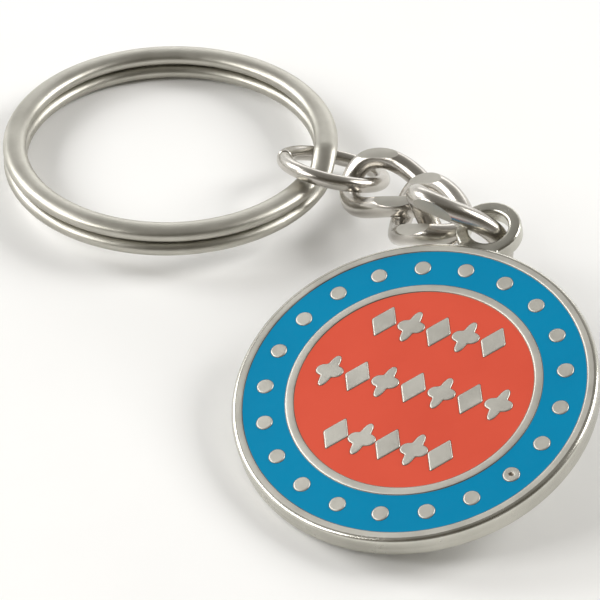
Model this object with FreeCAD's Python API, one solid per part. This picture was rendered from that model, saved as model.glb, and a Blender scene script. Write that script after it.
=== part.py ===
import FreeCAD, Part
import os
import math

# Keychain: a two-turn split ring, a jump ring, three twisted curb links and a
# round enamelled medallion with a cast lug.  All lengths in millimetres, +Z up,
# modelled as it lies on a flat surface at z = 0.

# ---------------------------------------------------------------- dimensions
# split ring (oval spring-steel strip wound two turns)
SR_MEAN_R = 13.95          # radius to the middle of the strip
SR_WIDTH = 2.10            # radial width of the strip
SR_THICK = 1.36            # thickness of one turn
SR_Z_LOW = 0.68           # mid-height of the lower turn
SR_Z_HIGH = 2.14          # mid-height of the upper turn
SR_END_HIGH = -29.5        # angle of the upper turn's end, degrees
SR_STEP_HIGH = -5.0        # the strip is fully raised from here
SR_STEP_LOW = -23.0        # and fully lowered from here
SR_END_LOW = 6.5           # angle of the lower turn's end

# jump ring (round wire, butted ends)
JR_MEAN_R = 4.464
JR_WIRE_R = 0.68
JR_GAP_DEG = 6.0           # opening between its two ends
JR_CENTRE = (14.5636, -4.1197, 1.9074)
JR_X_AXIS = (0.97729, -0.11375, -0.17880)
JR_NORMAL = (0.20747, 0.34171, 0.91662)

# curb links: centreline x = a cos t, y = b sin t, z = c sin 2t
L1_SHAPE = (4.569, 2.832, -0.925)
L1_WIRE_R = 0.93
L1_CENTRE = (19.4214, -8.5610, 2.7437)
L1_X_AXIS = (0.65338, -0.74573, 0.13035)
L1_NORMAL = (-0.22601, -0.02781, 0.97373)
L2_SHAPE = (4.569, 2.832, -0.925)
L2_WIRE_R = 0.93
L2_CENTRE = (22.4913, -14.4722, 4.1639)
L2_X_AXIS = (0.30403, -0.91955, 0.24900)
L2_NORMAL = (-0.47793, 0.07889, 0.87485)
L3_SHAPE = (4.569, 2.832, -0.925)
L3_WIRE_R = 0.93
L3_CENTRE = (24.7912, -18.8840, 5.7509)
L3_X_AXIS = (0.72667, -0.32096, -0.60740)
L3_NORMAL = (-0.52026, -0.83451, -0.18146)
LINK_FLAT = 0.36           # depth ground off the links' proud bends

# medallion, in its own frame: +Z out of the face, +Y towards the lug,
# z = 0 on the rim's top
MD_RADIUS = 15.15
MD_THICK = 2.00
MD_EDGE = 0.38             # rounding of the outer edges
RECESS = 0.60              # depth of the enamel wells
BLUE_OUT_R = 14.19
BLUE_IN_R = 10.64
RED_R = 9.90
ENAMEL_DROP = 0.06         # enamel surface below the metal
ENAMEL_GAP = 0.02          # clearance at the wells' walls
DOT_COUNT = 21
DOT_PCR = 12.45
DOT_R = 0.66
LUG_OFFSET = 17.65         # lug centre from the disc centre
LUG_OUT_R = 2.80
LUG_HOLE_R = 1.69
LUG_THICK = 1.50
LUG_DROP = 0.45            # lug face below the rim face
MD_CENTRE = (20.7784, -35.9969, 2.6280)
MD_NORMAL = (-0.19800, -0.23277, 0.95216)
MD_UP = (0.36860, 0.88241, 0.29236)

# everything above is placed from the split ring's own centre and plane; the ring
# leans on the jump ring, so the surface's upward direction is this in its frame
SURFACE_UP = (0.025, -0.060, 1.0)

# raised ornament in the red field: three rows of slanted lozenges (L) and
# four-lobed flowers (F); each row: (y of its middle, pitch, kinds)
ORN_SLANT = 0.16           # sideways lean of the ornament per unit height
LOZ_WIDTH = 2.15
LOZ_HEIGHT = 3.25
FLOWER_R = 1.06            # mean radius before the stretch below
FLOWER_LOBE = 0.30
FLOWER_SX = 0.84
FLOWER_SY = 1.17
ROWS = (
    (5.85, 2.42, "LFLFL"),
    (0.00, 2.48, "FLFLFLF"),
    (-5.85, 2.28, "LFLFL"),
)


def V(p):
    return FreeCAD.Vector(*p)


def place(centre, x_axis, normal):
    """Placement whose local X and Z lie along the given directions."""
    z = V(normal)
    z.normalize()
    x = V(x_axis)
    x = x - z * x.dot(z)
    x.normalize()
    y = z.cross(x)
    m = FreeCAD.Matrix(x.x, y.x, z.x, centre[0],
                       x.y, y.y, z.y, centre[1],
                       x.z, y.z, z.z, centre[2],
                       0, 0, 0, 1)
    return FreeCAD.Placement(m)


def solid_of(shape):
    shape = shape.removeSplitter() if hasattr(shape, "removeSplitter") else shape
    if len(shape.Solids) != 1:
        raise RuntimeError("expected one solid, got %d" % len(shape.Solids))
    return shape.Solids[0]


# ---------------------------------------------------------------- split ring
def split_ring():
    def p(deg, z):
        a = math.radians(deg)
        return FreeCAD.Vector(SR_MEAN_R * math.cos(a), SR_MEAN_R * math.sin(a), z)

    def arc(a0, a1, z):
        return Part.Arc(p(a0, z), p((a0 + a1) / 2.0, z), p(a1, z)).toShape()

    edges = []
    # upper turn, running clockwise from its end to the step
    hi0, hi1 = SR_END_HIGH, SR_STEP_HIGH - 360.0
    mid = (hi0 + hi1) / 2.0
    edges.append(arc(hi0, mid, SR_Z_HIGH))
    edges.append(arc(mid, hi1, SR_Z_HIGH))
    # the step from the upper to the lower turn
    lo1 = SR_STEP_LOW - 360.0
    n = 12
    pts = []
    for i in range(n + 1):
        s = i / float(n)
        deg = hi1 + (lo1 - hi1) * s
        k = 3 * s * s - 2 * s ** 3
        pts.append(p(deg, SR_Z_HIGH + (SR_Z_LOW - SR_Z_HIGH) * k))
    c = Part.BSplineCurve()

    def tangent(deg):
        a = math.radians(deg)
        return FreeCAD.Vector(math.sin(a), -math.cos(a), 0)
    c.interpolate(Points=pts, InitialTangent=tangent(hi1), FinalTangent=tangent(lo1))
    edges.append(c.toShape())
    # lower turn down to its end
    lo2 = SR_END_LOW - 720.0
    mid = (lo1 + lo2) / 2.0
    edges.append(arc(lo1, mid, SR_Z_LOW))
    edges.append(arc(mid, lo2, SR_Z_LOW))
    path = Part.Wire(edges)

    # oval strip section, radial x vertical, at the upper end
    a = math.radians(SR_END_HIGH)
    er = FreeCAD.Vector(math.cos(a), math.sin(a), 0)
    ez = FreeCAD.Vector(0, 0, 1)
    o = p(SR_END_HIGH, SR_Z_HIGH)
    oval = Part.Ellipse(o + er * (SR_WIDTH / 2.0), o + ez * (SR_THICK / 2.0), o)
    prof = Part.Wire([oval.toShape()])
    mk = Part.BRepOffsetAPI.MakePipeShell(path)
    mk.setBiNormalMode(ez)
    mk.add(prof)
    mk.build()
    mk.makeSolid()
    return Part.Solid(mk.shape().Shells[0]) if not mk.shape().Solids else mk.shape().Solids[0]


# ---------------------------------------------------------------- jump ring
def jump_ring():
    circle = Part.Wire(Part.makeCircle(JR_WIRE_R, FreeCAD.Vector(JR_MEAN_R, 0, 0), FreeCAD.Vector(0, 1, 0)))
    face = Part.Face(circle)
    # the gap sits on the ring's -X side
    face.rotate(FreeCAD.Vector(0, 0, 0), FreeCAD.Vector(0, 0, 1), 180.0 + JR_GAP_DEG / 2.0)
    s = face.revolve(FreeCAD.Vector(0, 0, 0), FreeCAD.Vector(0, 0, 1), 360.0 - JR_GAP_DEG)
    s.Placement = place(JR_CENTRE, JR_X_AXIS, JR_NORMAL).multiply(s.Placement)
    return solid_of(s)


# ---------------------------------------------------------------- curb links
def curb_link(shape, wire_r, centre, x_axis, normal):
    a, b, c = shape
    nu, nv = 36, 12
    # a periodic cubic surface pulls in from its poles by these factors
    k1 = (2 + math.cos(2 * math.pi / nu)) / 3
    k2 = (2 + math.cos(4 * math.pi / nu)) / 3
    kv = (2 + math.cos(2 * math.pi / nv)) / 3
    ez = FreeCAD.Vector(0, 0, 1)
    poles = []
    for i in range(nu):
        t = 2 * math.pi * i / nu
        o = FreeCAD.Vector(a * math.cos(t) / k1, b * math.sin(t) / k1, c * math.sin(2 * t) / k2)
        tan = FreeCAD.Vector(-a * math.sin(t), b * math.cos(t), 2 * c * math.cos(2 * t))
        tan.normalize()
        e1 = ez - tan * ez.dot(tan)
        e1.normalize()
        e2 = tan.cross(e1)
        row = []
        for j in range(nv):
            v = 2 * math.pi * j / nv
            row.append(o + e1 * (wire_r / kv * math.cos(v)) + e2 * (wire_r / kv * math.sin(v)))
        poles.append(row)
    surf = Part.BSplineSurface()
    surf.buildFromPolesMultsKnots(poles, [1] * (nu + 1), [1] * (nv + 1), list(range(nu + 1)), list(range(nv + 1)),
                                  True, True, 3, 3)
    s = Part.Solid(Part.Shell([surf.toShape()]))
    if s.Volume < 0:
        s.reverse()
    # the proud bends are ground flat on both sides of the chain
    h = abs(c) + wire_r - LINK_FLAT
    big = 2 * (a + wire_r) + 2
    slab = Part.makeBox(big, big, 2 * h, FreeCAD.Vector(-big / 2, -big / 2, -h))
    s = s.common(slab)
    s.Placement = place(centre, x_axis, normal).multiply(s.Placement)
    return solid_of(s)


# ---------------------------------------------------------------- medallion
def ornament(kind, cx, cy, z0, z1, grow=0.0):
    """One raised figure; grow widens its outline all round."""
    if kind == "L":
        w, h = LOZ_WIDTH / 2.0, LOZ_HEIGHT / 2.0
        k = 1 + grow * math.sqrt(1 / w ** 2 + 1 / h ** 2)
        pts = [(w * k, 0), (0, h * k), (-w * k, 0), (0, -h * k)]
        pts = [FreeCAD.Vector(cx + x + ORN_SLANT * y, cy + y, z0) for x, y in pts]
        wire = Part.makePolygon(pts + [pts[0]])
    else:
        pts = []
        for i in range(32):
            t = 2 * math.pi * i / 32
            r = FLOWER_R + FLOWER_LOBE * math.cos(4 * t) + 1.15 * grow
            x, y = r * math.cos(t) * FLOWER_SX, r * math.sin(t) * FLOWER_SY
            pts.append(FreeCAD.Vector(cx + x + ORN_SLANT * y, cy + y, z0))
        c = Part.BSplineCurve()
        c.interpolate(Points=pts, PeriodicFlag=True)
        wire = Part.Wire([c.toShape()])
    return Part.Face(wire).extrude(FreeCAD.Vector(0, 0, z1 - z0))


def ornaments(z0, z1, grow=0.0):
    out = []
    for cy, pitch, kinds in ROWS:
        for i, kind in enumerate(kinds):
            out.append(ornament(kind, (i - (len(kinds) - 1) / 2.0) * pitch, cy, z0, z1, grow))
    return out


def dot_centres():
    return [(DOT_PCR * math.cos(math.pi / 2 + 2 * math.pi * i / DOT_COUNT),
             DOT_PCR * math.sin(math.pi / 2 + 2 * math.pi * i / DOT_COUNT)) for i in range(DOT_COUNT)]


def cyl(r, z0, z1, x=0.0, y=0.0):
    return Part.makeCylinder(r, z1 - z0, FreeCAD.Vector(x, y, z0))


def medallion_body():
    disc = cyl(MD_RADIUS, -MD_THICK, 0)
    disc = disc.makeFillet(MD_EDGE, [e for e in disc.Edges if isinstance(e.Curve, Part.Circle)])
    # lug with a short foot that runs into the disc's edge
    zt, zb = -LUG_DROP, -LUG_DROP - LUG_THICK
    lug = cyl(LUG_OUT_R, zb, zt, 0, LUG_OFFSET)
    foot_w = LUG_OUT_R + 0.75
    foot = Part.Face(Part.makePolygon([
        FreeCAD.Vector(-foot_w, MD_RADIUS - 1.2, zb), FreeCAD.Vector(foot_w, MD_RADIUS - 1.2, zb),
        FreeCAD.Vector(LUG_OUT_R - 0.42, LUG_OFFSET - 1.35, zb), FreeCAD.Vector(-LUG_OUT_R + 0.42, LUG_OFFSET - 1.35, zb),
        FreeCAD.Vector(-foot_w, MD_RADIUS - 1.2, zb)])).extrude(FreeCAD.Vector(0, 0, LUG_THICK))
    body = disc.fuse([lug, foot])
    body = body.cut(cyl(LUG_HOLE_R, zb - 1, zt + 1, 0, LUG_OFFSET))
    wells = cyl(BLUE_OUT_R, -RECESS, 1).cut(cyl(BLUE_IN_R, -RECESS - 1, 2)).fuse(cyl(RED_R, -RECESS, 1))
    body = body.cut(wells)
    adds = [cyl(DOT_R, -RECESS - 0.3, 0, x, y) for x, y in dot_centres()]
    adds += ornaments(-RECESS - 0.3, 0)
    body = body.fuse(adds)
    return solid_of(body)


def blue_enamel():
    ring = cyl(BLUE_OUT_R - ENAMEL_GAP, -RECESS, -ENAMEL_DROP).cut(cyl(BLUE_IN_R + ENAMEL_GAP, -RECESS - 1, 1))
    ring = ring.cut(Part.makeCompound([cyl(DOT_R + ENAMEL_GAP, -RECESS - 1, 1, x, y) for x, y in dot_centres()]))
    return solid_of(ring)


def red_enamel():
    disc = cyl(RED_R - ENAMEL_GAP, -RECESS, -ENAMEL_DROP)
    disc = disc.cut(Part.makeCompound(ornaments(-RECESS - 1, 1, ENAMEL_GAP)))
    return solid_of(disc)


# ---------------------------------------------------------------- assembly
nodes = {}
nodes["split_ring"] = split_ring()
nodes["jump_ring"] = jump_ring()
nodes["chain_link_1"] = curb_link(L1_SHAPE, L1_WIRE_R, L1_CENTRE, L1_X_AXIS, L1_NORMAL)
nodes["chain_link_2"] = curb_link(L2_SHAPE, L2_WIRE_R, L2_CENTRE, L2_X_AXIS, L2_NORMAL)
nodes["chain_link_3"] = curb_link(L3_SHAPE, L3_WIRE_R, L3_CENTRE, L3_X_AXIS, L3_NORMAL)
md = place(MD_CENTRE, V(MD_UP).cross(V(MD_NORMAL)), MD_NORMAL)
for name, shape in (("medallion_body", medallion_body()), ("blue_enamel", blue_enamel()), ("red_enamel", red_enamel())):
    shape.Placement = md.multiply(shape.Placement)
    nodes[name] = shape

# stand everything on the surface
level = FreeCAD.Placement(FreeCAD.Vector(0, 0, 0), FreeCAD.Rotation(V(SURFACE_UP), FreeCAD.Vector(0, 0, 1)))
for s in nodes.values():
    s.Placement = level.multiply(s.Placement)

# the origin is the middle of the box that holds the whole keychain, on the floor
pts = []
for s in nodes.values():
    pts += s.tessellate(0.01)[0]
lo = [min(p[i] for p in pts) for i in range(3)]
hi = [max(p[i] for p in pts) for i in range(3)]
shift = FreeCAD.Vector(-(lo[0] + hi[0]) / 2.0, -(lo[1] + hi[1]) / 2.0, -lo[2])
print("BOX", [round(v, 4) for v in lo], [round(v, 4) for v in hi])
print("SHIFT", round(shift.x, 5), round(shift.y, 5), round(shift.z, 5))

os.makedirs("parts", exist_ok=True)
for name, s in nodes.items():
    s = s.copy()
    s.translate(shift)
    if not s.isValid() or s.Volume <= 0:
        raise RuntimeError("bad solid: %s valid %s volume %s" % (name, s.isValid(), s.Volume))
    s.exportStep("parts/%s.step" % name)
    print(name, "volume %.2f" % s.Volume, "faces", len(s.Faces))
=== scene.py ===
import math
import bpy
import bmesh
import numpy as np
from mathutils import Matrix, Vector


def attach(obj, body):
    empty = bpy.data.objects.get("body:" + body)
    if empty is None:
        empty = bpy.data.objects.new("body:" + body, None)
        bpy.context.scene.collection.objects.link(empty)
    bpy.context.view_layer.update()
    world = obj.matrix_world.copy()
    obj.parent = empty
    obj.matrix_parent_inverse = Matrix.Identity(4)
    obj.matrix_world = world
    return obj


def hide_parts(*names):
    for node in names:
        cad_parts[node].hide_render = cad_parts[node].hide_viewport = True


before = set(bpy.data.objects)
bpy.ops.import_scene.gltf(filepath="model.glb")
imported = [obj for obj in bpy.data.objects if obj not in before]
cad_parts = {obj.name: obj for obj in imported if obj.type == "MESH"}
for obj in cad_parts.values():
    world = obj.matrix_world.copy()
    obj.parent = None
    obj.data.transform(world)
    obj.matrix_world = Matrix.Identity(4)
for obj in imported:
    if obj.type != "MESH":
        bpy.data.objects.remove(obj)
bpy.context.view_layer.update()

# ------------------------------------------------------------------ numbers (mm, in the assembly's own frame before SHIFT)
SHIFT = np.array([-10.38601, 17.75574, 0.90824])
SR = dict(R=13.95, W=2.10, T=1.36, z0=0.68, z1=2.14, e_hi=-29.5, s_hi=-5.0, s_lo=-23.0, e_lo=6.5)
JR = dict(R=4.464, r=0.68, gap=6.0, c=(14.5636, -4.1197, 1.9074), x=(0.97729, -0.11375, -0.17880), n=(0.20747, 0.34171, 0.91662))
LINKS = [
    dict(sh=(4.569, 2.832, -0.925), r=0.93, c=(19.4214, -8.5610, 2.7437), x=(0.65338, -0.74573, 0.13035), n=(-0.22601, -0.02781, 0.97373)),
    dict(sh=(4.569, 2.832, -0.925), r=0.93, c=(22.4913, -14.4722, 4.1639), x=(0.30403, -0.91955, 0.24900), n=(-0.47793, 0.07889, 0.87485)),
    dict(sh=(4.569, 2.832, -0.925), r=0.93, c=(24.7912, -18.8840, 5.7509), x=(0.72667, -0.32096, -0.60740), n=(-0.52026, -0.83451, -0.18146)),
]
LINK_FLAT = 0.36
MD = dict(c=(20.7784, -35.9969, 2.6280), n=(-0.19800, -0.23277, 0.95216), up=(0.36860, 0.88241, 0.29236))
RIM_R, THICK, BLUE_OUT, BLUE_IN, RED_R = 15.15, 2.00, 14.19, 10.64, 9.90
ENAMEL = -0.06
DOT_PCR, DOT_R, DOTS = 12.45, 0.66, 21
SURFACE_UP = np.array((0.025, -0.060, 1.0))
LUG_Y, LUG_R, LUG_HOLE, LUG_T, LUG_DROP = 17.65, 2.80, 1.69, 1.50, 0.45


# ------------------------------------------------------------------ mesh helpers
def frame_of(c, x, n):
    z = np.array(n, float); z /= np.linalg.norm(z)
    x = np.array(x, float); x -= z * (x @ z); x /= np.linalg.norm(x)
    return np.array(c, float), np.c_[x, np.cross(z, x), z]


def level_matrix():
    """turns the surface's upward direction, given in the split ring's frame, to +Z"""
    u = SURFACE_UP / np.linalg.norm(SURFACE_UP)
    ax = np.cross(u, [0, 0, 1.0])
    s, c = np.linalg.norm(ax), u[2]
    ax /= s
    K = np.array([[0, -ax[2], ax[1]], [ax[2], 0, -ax[0]], [-ax[1], ax[0], 0]])
    return np.eye(3) + s * K + (1 - c) * K @ K


LEVEL = level_matrix()


def to_row(v, c=None, M=None):
    v = np.asarray(v, float)
    if M is not None:
        v = v @ M.T + c
    return (v @ LEVEL.T + SHIFT) / 1000.0


def add_piece(name, verts, faces, mats, body, nodes, sharp=35.0, mat_index=None):
    me = bpy.data.meshes.new(name)
    me.from_pydata([tuple(p) for p in verts], [], [tuple(f) for f in faces])
    bm = bmesh.new()
    bm.from_mesh(me)
    bmesh.ops.recalc_face_normals(bm, faces=bm.faces)
    bm.to_mesh(me)
    bm.free()
    for m in mats:
        me.materials.append(m)
    if mat_index is not None:
        me.polygons.foreach_set("material_index", np.asarray(mat_index, np.int32))
    me.shade_smooth()
    me.set_sharp_from_angle(angle=math.radians(sharp))
    me.update()
    ob = bpy.data.objects.new(name, me)
    bpy.context.scene.collection.objects.link(ob)
    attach(ob, body)
    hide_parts(*nodes)
    return ob


def grid_faces(nu, nv, close_u, close_v):
    out = []
    for i in range(nu if close_u else nu - 1):
        for j in range(nv if close_v else nv - 1):
            a, b = i * nv + j, i * nv + (j + 1) % nv
            c, d = ((i + 1) % nu) * nv + (j + 1) % nv, ((i + 1) % nu) * nv + j
            out.append((a, b, c, d))
    return out


def super_section(w, h, power, n):
    t = np.linspace(0, 2 * np.pi, n, endpoint=False)
    c, s = np.cos(t), np.sin(t)
    return np.c_[w * np.sign(c) * np.abs(c) ** (2 / power), h * np.sign(s) * np.abs(s) ** (2 / power)]


def fade(x):
    return 3 * x * x - 2 * x ** 3


# ------------------------------------------------------------------ materials
def nodes_of(name):
    m = bpy.data.materials.new(name)
    m.use_nodes = True
    nt = m.node_tree
    nt.nodes.clear()
    out = nt.nodes.new("ShaderNodeOutputMaterial")
    b = nt.nodes.new("ShaderNodeBsdfPrincipled")
    nt.links.new(b.outputs[0], out.inputs[0])
    return m, nt, b


def noise(nt, scale, detail=3.0, rough=0.55, stretch=(1, 1, 1), distortion=0.0):
    tc = nt.nodes.new("ShaderNodeTexCoord")
    mp = nt.nodes.new("ShaderNodeMapping")
    mp.inputs["Scale"].default_value = stretch
    n = nt.nodes.new("ShaderNodeTexNoise")
    n.inputs["Scale"].default_value = scale
    n.inputs["Detail"].default_value = detail
    n.inputs["Roughness"].default_value = rough
    n.inputs["Distortion"].default_value = distortion
    nt.links.new(tc.outputs["Object"], mp.inputs[0])
    nt.links.new(mp.outputs[0], n.inputs["Vector"])
    return n.outputs[0]


def ramp(nt, src, stops, interp="LINEAR"):
    r = nt.nodes.new("ShaderNodeValToRGB")
    r.color_ramp.interpolation = interp
    e = r.color_ramp.elements
    while len(e) < len(stops):
        e.new(0.5)
    for k, (p, c) in enumerate(stops):
        e[k].position = p
        e[k].color = (*c, 1) if len(c) == 3 else c
    nt.links.new(src, r.inputs[0])
    return r.outputs[0]


def maprange(nt, src, a, b, lo, hi):
    m = nt.nodes.new("ShaderNodeMapRange")
    m.inputs["From Min"].default_value = a
    m.inputs["From Max"].default_value = b
    m.inputs["To Min"].default_value = lo
    m.inputs["To Max"].default_value = hi
    nt.links.new(src, m.inputs["Value"])
    return m.outputs[0]


def math_node(nt, op, a, b):
    m = nt.nodes.new("ShaderNodeMath")
    m.operation = op
    for k, v in enumerate((a, b)):
        if isinstance(v, (int, float)):
            m.inputs[k].default_value = v
        else:
            nt.links.new(v, m.inputs[k])
    return m.outputs[0]


def bump(nt, b, height, dist, strength=1.0, chain=None):
    n = nt.nodes.new("ShaderNodeBump")
    n.inputs["Distance"].default_value = dist
    n.inputs["Strength"].default_value = strength
    nt.links.new(height, n.inputs["Height"])
    if chain is not None:
        nt.links.new(chain, n.inputs["Normal"])
    nt.links.new(n.outputs[0], b.inputs["Normal"])
    return n.outputs[0]


def metal(name, dark, light, r_lo, r_hi, grain=0.0, wave=0.0, scratch=0.0):
    """plated metal: colour drifts between two greys, roughness in soft patches, fine grain and hairlines in the surface"""
    m, nt, b = nodes_of(name)
    b.inputs["Metallic"].default_value = 1.0
    patch = noise(nt, 260, 4.0, 0.6)
    nt.links.new(ramp(nt, patch, [(0.3, dark), (0.7, light)]), b.inputs["Base Color"])
    fine = noise(nt, 2600, 5.0, 0.65)
    mix = math_node(nt, "ADD", math_node(nt, "MULTIPLY", patch, 0.6), math_node(nt, "MULTIPLY", fine, 0.4))
    nt.links.new(maprange(nt, mix, 0.3, 0.7, r_lo, r_hi), b.inputs["Roughness"])
    chain = None
    if wave:
        chain = bump(nt, b, noise(nt, 700, 2.0, 0.5), 0.0001, wave, chain)
    if scratch:
        chain = bump(nt, b, noise(nt, 900, 6.0, 0.7, stretch=(1, 14, 9), distortion=0.4), 0.00002, scratch, chain)
    if grain:
        chain = bump(nt, b, noise(nt, 9000, 3.0, 0.7), 0.00001, grain, chain)
    return m


def enamel(name, base, deep):
    """ground and polished enamel: an even colour with faint clouding, a few pinholes and a soft polish haze"""
    m, nt, b = nodes_of(name)
    cloud = noise(nt, 140, 3.0, 0.5)
    nt.links.new(ramp(nt, cloud, [(0.3, deep), (0.65, base)]), b.inputs["Base Color"])
    b.inputs["Metallic"].default_value = 0.0
    b.inputs["IOR"].default_value = 1.5
    b.inputs["Specular IOR Level"].default_value = 0.12
    nt.links.new(maprange(nt, noise(nt, 1800, 5.0, 0.6), 0.3, 0.7, 0.30, 0.42), b.inputs["Roughness"])
    ch = bump(nt, b, noise(nt, 320, 2.0, 0.5), 0.00003, 0.25)
    bump(nt, b, noise(nt, 7000, 3.0, 0.6), 0.000006, 0.25, ch)
    return m


M_RING = metal("ring_steel", (0.45, 0.435, 0.385), (0.56, 0.545, 0.49), 0.33, 0.45, grain=0.35, wave=0.10, scratch=0.40)
M_WIRE = metal("nickel_wire", (0.49, 0.465, 0.425), (0.59, 0.565, 0.52), 0.18, 0.28, grain=0.15, wave=0.22, scratch=0.22)
M_FLAT = metal("ground_flat", (0.38, 0.365, 0.325), (0.47, 0.45, 0.405), 0.34, 0.46, grain=0.6, scratch=0.6)
M_CUT = metal("sheared_end", (0.26, 0.24, 0.21), (0.46, 0.44, 0.40), 0.35, 0.55, grain=1.0, wave=0.8, scratch=0.6)
M_CAST = metal("cast_rim", (0.54, 0.53, 0.475), (0.64, 0.625, 0.565), 0.20, 0.30, grain=0.30, wave=0.08, scratch=0.12)
M_SATIN = metal("satin_raised", (0.565, 0.55, 0.50), (0.655, 0.64, 0.585), 0.42, 0.54, grain=0.9, wave=0.0, scratch=0.1)
# a near-black metal used as painted shade on the lips where metal meets enamel and in the casting pit
M_PAINTED_SHADE = metal("painted_edge_shade", (0.12, 0.10, 0.08), (0.24, 0.21, 0.17), 0.40, 0.55, grain=0.6)
M_BLUE = enamel("enamel_blue", (0.0002, 0.246, 0.458), (0.0002, 0.232, 0.438))
M_RED = enamel("enamel_red", (0.725, 0.100, 0.057), (0.685, 0.090, 0.051))


# ------------------------------------------------------------------ split ring
def build_split_ring():
    s = SR
    ang, zz = [], []
    step = 1.25
    hi0, hi1 = s["e_hi"], s["s_hi"] - 360
    lo1, lo2 = s["s_lo"] - 360, s["e_lo"] - 720
    for a in np.linspace(hi0, hi1, int(abs(hi1 - hi0) / step)):
        ang.append(a); zz.append(s["z1"])
    for k in np.linspace(0, 1, 26)[1:]:
        ang.append(hi1 + (lo1 - hi1) * k); zz.append(s["z1"] + (s["z0"] - s["z1"]) * fade(k))
    for a in np.linspace(lo1, lo2, int(abs(lo2 - lo1) / step))[1:]:
        ang.append(a); zz.append(s["z0"])
    ang, zz = np.array(ang), np.array(zz)
    # rounded, slightly burred ends
    arc = np.abs(ang - ang[0]) * math.pi / 180 * s["R"]
    ends = [(0.0, 0.80), (0.025, 0.90), (0.07, 0.965), (0.14, 0.992), (0.24, 1.0)]
    total = arc[-1]
    extra = [e for e, _ in ends[1:]] + [total - e for e, _ in ends[1:]]
    arc2 = np.unique(np.r_[arc, extra])
    ang2 = np.interp(arc2, arc, ang)
    z2 = np.interp(arc2, arc, zz)
    d = np.minimum(arc2, total - arc2)
    sc = np.interp(d, [e for e, _ in ends], [k for _, k in ends])
    sec = super_section(s["W"] / 2, s["T"] / 2, 2.25, 56)
    a = np.radians(ang2)
    er = np.c_[np.cos(a), np.sin(a), 0 * a]
    V = []
    for i in range(len(a)):
        x = (s["R"] + sec[:, 0] * sc[i] - (1 - sc[i]) * 0.0)
        V.append(np.c_[er[i, 0] * x, er[i, 1] * x, z2[i] + sec[:, 1] * sc[i]])
    nu, nv = len(V), len(sec)
    V = np.vstack(V)
    F = grid_faces(nu, nv, False, True)
    mi = [0] * len(F)
    F.append(tuple(range(nv))); mi.append(1)
    F.append(tuple((nu - 1) * nv + j for j in reversed(range(nv)))); mi.append(1)
    return add_piece("split_ring_strip", to_row(V), F, [M_RING, M_CUT], "ring", ["split_ring"], 40, mi)


# ------------------------------------------------------------------ jump ring
def build_jump_ring():
    c, M = frame_of(JR["c"], JR["x"], JR["n"])
    g = math.radians(JR["gap"]) / 2
    n, nv = 200, 40
    t = np.linspace(math.pi + g, 3 * math.pi - g, n)
    arc = (t - t[0]) * JR["R"]
    total = arc[-1]
    ends = [(0.0, 0.78), (0.03, 0.90), (0.08, 0.97), (0.16, 1.0)]
    arc2 = np.unique(np.r_[arc, [e for e, _ in ends[1:]], [total - e for e, _ in ends[1:]]])
    t2 = t[0] + arc2 / JR["R"]
    d = np.minimum(arc2, total - arc2)
    sc = np.interp(d, [e for e, _ in ends], [k for _, k in ends])
    v = np.linspace(0, 2 * math.pi, nv, endpoint=False)
    V = []
    for tt, k in zip(t2, sc):
        rr = JR["R"] + JR["r"] * k * np.cos(v)
        V.append(np.c_[rr * math.cos(tt), rr * math.sin(tt), JR["r"] * k * np.sin(v)])
    nu = len(V)
    V = np.vstack(V)
    F = grid_faces(nu, nv, False, True)
    mi = [0] * len(F)
    F.append(tuple(range(nv))); mi.append(1)
    F.append(tuple((nu - 1) * nv + j for j in reversed(range(nv)))); mi.append(1)
    return add_piece("jump_ring_wire", to_row(V, c, M), F, [M_WIRE, M_CUT], "jump", ["jump_ring"], 40, mi)


# ------------------------------------------------------------------ curb links
def build_link(k):
    L = LINKS[k]
    a, b, c = L["sh"]
    nu, nv = 240, 64
    V = []
    for i in range(nu):
        t = 2 * math.pi * i / nu
        o = np.array([a * math.cos(t), b * math.sin(t), c * math.sin(2 * t)])
        tan = np.array([-a * math.sin(t), b * math.cos(t), 2 * c * math.cos(2 * t)])
        tan /= np.linalg.norm(tan)
        e1 = np.array([0, 0, 1.0]) - tan * tan[2]
        e1 /= np.linalg.norm(e1)
        e2 = np.cross(tan, e1)
        v = np.linspace(0, 2 * math.pi, nv, endpoint=False)
        V.append(o + L["r"] * (np.cos(v)[:, None] * e1 + np.sin(v)[:, None] * e2))
    V = np.vstack(V)
    me = bpy.data.meshes.new("tmp")
    me.from_pydata([tuple(p) for p in V], [], grid_faces(nu, nv, True, True))
    bm = bmesh.new()
    bm.from_mesh(me)
    bpy.data.meshes.remove(me)
    bmesh.ops.recalc_face_normals(bm, faces=bm.faces)
    h = abs(c) + L["r"] - LINK_FLAT
    flats = []
    for sgn in (1, -1):
        r = bmesh.ops.bisect_plane(bm, geom=bm.verts[:] + bm.edges[:] + bm.faces[:], dist=1e-5,
                                   plane_co=(0, 0, sgn * h), plane_no=(0, 0, sgn), clear_outer=True)
        edges = [e for e in r["geom_cut"] if isinstance(e, bmesh.types.BMEdge)]
        bmesh.ops.holes_fill(bm, edges=edges, sides=0)
    bm.normal_update()
    rim = []
    for e in bm.edges:
        if len(e.link_faces) == 2 and any(len(f.verts) > 12 for f in e.link_faces):
            rim.append(e)
    bmesh.ops.bevel(bm, geom=rim, offset=0.03, offset_type="OFFSET", segments=2, profile=0.6, affect="EDGES", clamp_overlap=True)
    bm.normal_update()
    verts = np.array([v.co[:] for v in bm.verts])
    bm.verts.index_update()
    faces = [tuple(v.index for v in f.verts) for f in bm.faces]
    mi = [1 if len(f.verts) > 12 else 0 for f in bm.faces]
    bm.free()
    ctr, M = frame_of(L["c"], L["x"], L["n"])
    return add_piece("curb_link_%d" % (k + 1), to_row(verts, ctr, M), faces, [M_WIRE, M_FLAT], "link_%d" % (k + 1),
                     ["chain_link_%d" % (k + 1)], 30, mi)


# ------------------------------------------------------------------ medallion
MC, MM = frame_of(MD["c"], np.cross(np.array(MD["up"]), np.array(MD["n"])), MD["n"])


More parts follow.
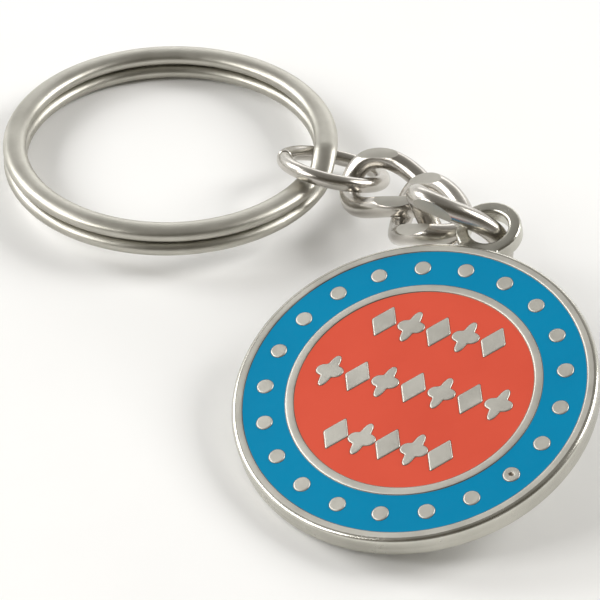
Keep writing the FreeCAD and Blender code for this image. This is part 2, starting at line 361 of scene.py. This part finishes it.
def revolve(profile, n, closed_axis=True):
    """closed solid of revolution about local z; profile runs from the axis to the axis"""
    V, F = [], []
    prof = [p for p in profile]
    ring = []
    for r, z in prof:
        if r < 1e-9:
            ring.append([len(V)]); V.append((0, 0, z))
        else:
            ring.append(list(range(len(V), len(V) + n)))
            for i in range(n):
                t = 2 * math.pi * i / n
                V.append((r * math.cos(t), r * math.sin(t), z))
    for a, b in zip(ring, ring[1:]):
        for i in range(n):
            j = (i + 1) % n
            if len(a) == 1:
                F.append((a[0], b[i], b[j]))
            elif len(b) == 1:
                F.append((a[i], b[0], a[j]))
            else:
                F.append((a[i], b[i], b[j], a[j]))
    return np.array(V, float), F


def arc_pts(cr, cz, r, a0, a1, n):
    return [(cr + r * math.cos(math.radians(a)), cz + r * math.sin(math.radians(a))) for a in np.linspace(a0, a1, n)]


def build_disc():
    E = 0.38
    prof = [(0, -THICK), (5, -THICK), (10, -THICK), (RIM_R - 1.3, -THICK)]
    prof += arc_pts(RIM_R - E, -THICK + E, E, -90, 0, 9)
    prof += [(RIM_R, -1.30), (RIM_R - 0.004, -1.12), (RIM_R - 0.02, -1.06), (RIM_R - 0.004, -1.00), (RIM_R, -0.85)]
    prof += arc_pts(RIM_R - E, -E, E, 0, 90, 11)
    prof += [(RIM_R - E - 0.03, 0.0), (BLUE_OUT + 0.17, 0.0)]
    prof += [(BLUE_OUT + 0.11, -0.006), (BLUE_OUT + 0.055, -0.022), (BLUE_OUT + 0.02, -0.05), (BLUE_OUT - 0.035, ENAMEL - 0.004)]
    n_out = len(prof)
    prof += [(BLUE_OUT - 0.04, -0.6), (BLUE_IN + 0.04, -0.6)]
    prof += [(BLUE_IN + 0.035, ENAMEL - 0.004), (BLUE_IN - 0.02, -0.05), (BLUE_IN - 0.055, -0.022), (BLUE_IN - 0.11, -0.006), (BLUE_IN - 0.18, 0)]
    prof += [(RED_R + 0.18, 0), (RED_R + 0.11, -0.006), (RED_R + 0.055, -0.022), (RED_R + 0.02, -0.05), (RED_R - 0.035, ENAMEL - 0.004)]
    prof += [(RED_R - 0.04, -0.6), (4, -0.6), (0, -0.6)]
    n = 480
    V, F = revolve(prof, n)
    # material per profile strip: rim and walls polished, faces satin, and the lips just above the enamel a near-black
    # metal as painted shade
    mi = []
    for (r0, z0), (r1, z1) in zip(prof, prof[1:]):
        zm, rm = (z0 + z1) / 2, (r0 + r1) / 2
        k = 0
        if -0.03 < zm and rm < RIM_R - 0.45:
            k = 1
        # the lips just above the enamel take the dark painted-shade metal
        if ENAMEL - 0.01 < min(z0, z1) and zm < -0.03 and rm < BLUE_OUT + 0.1:
            k = 2
        mi += [k] * n
    return add_piece("medallion_disc", to_row(V, MC, MM), F, [M_CAST, M_SATIN, M_PAINTED_SHADE], "medallion", ["medallion_body"], 38, mi)


def raised(outline, centre=None, inner=None):
    """a raised island with softened edges: outline is a closed loop, anticlockwise;
    straight-sided ones are inset by scaling about their centre, inner being the distance to a side"""
    P = np.asarray(outline, float)
    top = 0.0
    nx, pv = np.roll(P, -1, 0), np.roll(P, 1, 0)
    t = nx - pv
    t /= np.linalg.norm(t, axis=1)[:, None]
    nrm = np.c_[t[:, 1], -t[:, 0]]
    loops = [(0.045, -0.55), (0.045, ENAMEL + 0.0025), (0.012, ENAMEL + 0.006), (0.0, -0.034), (-0.018, -0.014), (-0.05, -0.004 + top), (-0.085, top), (-0.12, top)]
    V, F, mi = [], [], []
    n = len(P)
    for off, z in loops:
        Q = P + nrm * off if centre is None else centre + (P - centre) * (1 + off / inner)
        V += [(x, y, z) for x, y in Q]
    for k in range(len(loops) - 1):
        for i in range(n):
            j = (i + 1) % n
            F.append((k * n + i, k * n + j, (k + 1) * n + j, (k + 1) * n + i))
            # the base bands down into the enamel take slot 1, the dark painted-shade metal
            mi.append(1 if k <= 1 else 0)
    F.append(tuple(range(n))[::-1]); mi.append(0)
    F.append(tuple((len(loops) - 1) * n + i for i in range(n))); mi.append(0)
    return V, F, mi


def merge(parts):
    V, F, mi = [], [], []
    for v, f, m in parts:
        o = len(V)
        V += list(v)
        F += [tuple(i + o for i in q) for q in f]
        mi += list(m)
    return np.array(V, float), F, mi


def build_dots():
    parts = []
    for k in range(DOTS):
        t = math.pi / 2 + 2 * math.pi * k / DOTS
        cx, cy = DOT_PCR * math.cos(t), DOT_PCR * math.sin(t)
        n = 64
        rr = DOT_R * (1 + 0.012 * math.sin(k * 2.3))
        a = np.linspace(0, 2 * math.pi, n, endpoint=False)
        wob = 1 + 0.008 * np.sin(3 * a + k) + 0.006 * np.sin(5 * a + 2 * k)
        out = np.c_[cx + rr * wob * np.cos(a), cy + rr * wob * np.sin(a)]
        v, f, m = raised(out)
        if k == 14:
            # one dot carries a small casting pit; its deeper part takes the dark metal as painted shade
            f.pop(); m.pop()
            base = len(v) - n
            rings = [(0.27, -0.002), (0.22, -0.012), (0.17, -0.04), (0.10, -0.062)]
            prev = base
            for q, (pr, pz) in enumerate(rings):
                st = len(v)
                v += [(cx + pr * (1 + 0.12 * math.sin(2 * b + 1)) * math.cos(b), cy + pr * 0.8 * (1 + 0.1 * math.cos(3 * b)) * math.sin(b), pz) for b in a]
                for i in range(n):
                    j = (i + 1) % n
                    f.append((prev + i, prev + j, st + j, st + i)); m.append(1 if q >= 2 else 0)
                prev = st
            f.append(tuple(prev + i for i in range(n))); m.append(1)
        parts.append((v, f, m))
    V, F, mi = merge(parts)
    return add_piece("medallion_dots", to_row(V, MC, MM), F, [M_SATIN, M_PAINTED_SHADE], "medallion", ["medallion_body"], 40, mi)


def smooth_loop(pts, per):
    """densify a polygon's sides"""
    out = []
    for p, q in zip(pts, pts[1:] + pts[:1]):
        for k in range(per):
            s = k / per
            out.append((p[0] + (q[0] - p[0]) * s, p[1] + (q[1] - p[1]) * s))
    return out


ORN_SLANT, LOZ_WIDTH, LOZ_HEIGHT, FLOWER_R, FLOWER_LOBE, FLOWER_SX, FLOWER_SY = 0.16, 2.15, 3.25, 1.06, 0.30, 0.84, 1.17
ROWS = [(5.85, 2.42, "LFLFL"), (0.0, 2.48, "FLFLFLF"), (-5.85, 2.28, "LFLFL")]


def ornament_outlines():
    out = []
    for cy, pitch, kinds in ROWS:
        n = len(kinds)
        for i, kind in enumerate(kinds):
            cx = (i - (n - 1) / 2) * pitch
            if kind == "L":
                w, h, r = LOZ_WIDTH / 2, LOZ_HEIGHT / 2, 0.20
                # straight sides with softly rounded corners
                corners = [(w, 0), (0, h), (-w, 0), (0, -h)]
                pts = []
                for a in range(4):
                    p0, p1, p2 = (np.array(corners[(a + d) % 4], float) for d in (-1, 0, 1))
                    u, v = p0 - p1, p2 - p1
                    u /= np.linalg.norm(u)
                    v /= np.linalg.norm(v)
                    for s in np.linspace(0, 1, 7):
                        pts.append(tuple(p1 + u * r * (1 - s) ** 2 + v * r * s ** 2))
                    q = np.array(corners[(a + 1) % 4], float)
                    for s in np.linspace(0.15, 0.85, 8):
                        pts.append(tuple((p1 + v * r) * (1 - s) + (q - v * r) * s))
            else:
                pts = []
                for k in range(96):
                    t = 2 * math.pi * k / 96
                    r = FLOWER_R + FLOWER_LOBE * math.cos(4 * t)
                    pts.append((r * math.cos(t) * FLOWER_SX, r * math.sin(t) * FLOWER_SY))
            inner = 1 / math.sqrt(1 / w ** 2 + 1 / h ** 2) if kind == "L" else None
            out.append(([(cx + x + ORN_SLANT * y, cy + y) for x, y in pts], np.array([cx, cy]) if inner else None, inner))
    return out


def build_ornaments():
    parts = [raised(o, c, d) for o, c, d in ornament_outlines()]
    V, F, mi = merge(parts)
    return add_piece("medallion_ornament", to_row(V, MC, MM), F, [M_SATIN, M_PAINTED_SHADE], "medallion", ["medallion_body"], 40, mi)


def build_lug():
    zt, zb = -LUG_DROP, -LUG_DROP - LUG_T
    n = 360
    th = np.linspace(0, 2 * math.pi, n, endpoint=False)

    def sd(x, y):
        d1 = math.hypot(x, y - LUG_Y) - LUG_R
        d2 = math.hypot(x, y) - (RIM_R - 0.40)
        k = 1.4
        h = max(0.0, min(1.0, 0.5 + 0.5 * (d2 - d1) / k))
        return d2 * (1 - h) + d1 * h - k * h * (1 - h)
    R = []
    for t in th:
        lo, hi = LUG_R * 0.9, 4.3
        r = lo
        while r < hi and sd(r * math.cos(t), LUG_Y + r * math.sin(t)) <= 0:
            r += 0.02
        R.append(min(r, hi))
    R = np.array(R)
    k = np.array([1, 4, 6, 4, 1.0]); k /= k.sum()
    for _ in range(3):
        R = sum(w * np.roll(R, s) for w, s in zip(k, range(-2, 3)))
    R = np.maximum(R, LUG_R)
    e = 0.30
    prof = []                      # (kind, inset, z): kind 0 outer, 1 inner
    for a in np.linspace(0, 90, 8):
        prof.append((1, LUG_HOLE + e * (1 - math.cos(math.radians(a))), zb + e * (1 - math.sin(math.radians(a)))))
    for a in np.linspace(90, 0, 8):
        prof.append((0, -e * (1 - math.cos(math.radians(a))), zb + e * (1 - math.sin(math.radians(a)))))
    for a in np.linspace(0, 90, 8):
        prof.append((0, -e * (1 - math.cos(math.radians(a))), zt - e * (1 - math.sin(math.radians(a)))))
    for a in np.linspace(90, 0, 8):
        prof.append((1, LUG_HOLE + e * (1 - math.cos(math.radians(a))), zt - e * (1 - math.sin(math.radians(a)))))
    V = []
    for kind, off, z in prof:
        for t, r in zip(th, R):
            q = off if kind else r + off
            V.append((q * math.cos(t), LUG_Y + q * math.sin(t), z))
    F = grid_faces(len(prof), n, True, True)
    return add_piece("medallion_lug", to_row(V, MC, MM), F, [M_CAST], "medallion", ["medallion_body"], 60)


def build_enamel(name, r_in, r_out, mat, node):
    # the fill meets the metal in a very slight meniscus
    z = ENAMEL
    prof = []
    if r_in > 0:
        prof = [(r_in, -0.58), (r_in, z + 0.001), (r_in + 0.05, z - 0.002), (r_in + 0.14, z - 0.006), (r_in + 0.5, z - 0.008)]
    else:
        prof = [(0, z - 0.008), (3, z - 0.008), (6, z - 0.008)]
    prof += [(r_out - 0.5, z - 0.008), (r_out - 0.14, z - 0.006), (r_out - 0.05, z - 0.002), (r_out, z + 0.001), (r_out, -0.58)]
    if r_in > 0:
        prof += [(r_in, -0.58)]
    else:
        prof += [(0, -0.58)]
    V, F = revolve(prof, 360)
    bm_v = V
    return add_piece(name, to_row(bm_v, MC, MM), F, [mat], "medallion", [node], 50)


build_split_ring()
build_jump_ring()
for k in range(3):
    build_link(k)
build_disc()
build_dots()
build_ornaments()
build_lug()
build_enamel("enamel_blue_field", BLUE_IN + 0.01, BLUE_OUT - 0.01, M_BLUE, "blue_enamel")
build_enamel("enamel_red_field", 0, RED_R - 0.01, M_RED, "red_enamel")

# ------------------------------------------------------------------ floor
fm, nt, b = nodes_of("floor_paper")
nt.links.new(ramp(nt, noise(nt, 60, 3.0, 0.5), [(0.3, (0.93, 0.93, 0.925)), (0.7, (0.95, 0.95, 0.945))]), b.inputs["Base Color"])
b.inputs["Roughness"].default_value = 0.9
me = bpy.data.meshes.new("floor")
me.from_pydata([(-1.5, -1.5, 0), (1.5, -1.5, 0), (1.5, 1.5, 0), (-1.5, 1.5, 0)], [], [(0, 1, 2, 3)])
me.materials.append(fm)
floor = bpy.data.objects.new("floor", me)
bpy.context.scene.collection.objects.link(floor)

# ------------------------------------------------------------------ light
w = bpy.data.worlds.new("studio")
bpy.context.scene.world = w
w.use_nodes = True
nt = w.node_tree
nt.nodes.clear()
out = nt.nodes.new("ShaderNodeOutputWorld")
bg = nt.nodes.new("ShaderNodeBackground")
tc = nt.nodes.new("ShaderNodeTexCoord")
sep = nt.nodes.new("ShaderNodeSeparateXYZ")
nt.links.new(tc.outputs["Generated"], sep.inputs[0])
# a pale backdrop low down behind the object, a dim warm room above it and on the near side
back = ramp(nt, sep.outputs["Z"], [(0.0, (0.98, 0.98, 0.97)), (0.29, (0.90, 0.90, 0.885)), (0.60, (0.56, 0.55, 0.53)), (0.84, (0.32, 0.31, 0.29)),
                                   (0.96, (0.28, 0.27, 0.25)), (1.0, (0.25, 0.24, 0.22))])
front = ramp(nt, sep.outputs["Z"], [(0.0, (0.60, 0.59, 0.57)), (0.36, (0.17, 0.155, 0.13)), (0.60, (0.075, 0.066, 0.05)), (0.80, (0.10, 0.09, 0.07)), (0.95, (0.21, 0.20, 0.18)), (1.0, (0.25, 0.24, 0.22))])
mx = nt.nodes.new("ShaderNodeMix")
mx.data_type = "RGBA"
nt.links.new(maprange(nt, sep.outputs["Y"], -0.35, 0.35, 0.0, 1.0), mx.inputs[0])
nt.links.new(front, mx.inputs[6])
nt.links.new(back, mx.inputs[7])
nt.links.new(mx.outputs[2], bg.inputs["Color"])
bg.inputs["Strength"].default_value = 1.0
nt.links.new(bg.outputs[0], out.inputs[0])


def area(name, loc, target, size, power, color=(1, 1, 1)):
    L = bpy.data.lights.new(name, "AREA")
    L.shape = "RECTANGLE"
    L.size, L.size_y = size
    L.energy = power
    L.color = color
    o = bpy.data.objects.new(name, L)
    o.location = loc
    d = Vector(target) - Vector(loc)
    o.rotation_euler = d.to_track_quat("-Z", "Y").to_euler()
    bpy.context.scene.collection.objects.link(o)
    return o


area("back_left_softbox", (-0.50, 0.24, 0.36), (0, 0, 0), (0.30, 0.30), 1.7)
area("right_softbox", (0.52, 0.12, 0.36), (0, 0, 0), (0.26, 0.32), 2.4, (1, 0.99, 0.97))
area("left_softbox", (-0.50, -0.16, 0.36), (0, 0, 0), (0.26, 0.32), 1.6, (1, 0.99, 0.97))
area("back_softbox", (0.10, 0.62, 0.20), (0, 0, 0), (0.50, 0.14), 0.4)

# ------------------------------------------------------------------ camera
cam = bpy.data.cameras.new("camera")
cam.sensor_width = 36.0
cam.lens = 204.0
cam.clip_start = 0.01
cam.clip_end = 10
co = bpy.data.objects.new("camera", cam)
el = math.radians(37.2)
look = LEVEL @ np.array([0, math.cos(el), -math.sin(el)])
side = LEVEL @ np.array([1.0, 0, 0])
co.location = tuple(to_row(np.array([11.6, -251.4, 175.0])))
co.rotation_euler = Matrix(np.c_[side, np.cross(side, look), -look].tolist()).to_euler()
bpy.context.scene.collection.objects.link(co)
bpy.context.scene.camera = co
bpy.context.scene.view_settings.view_transform = "Standard"
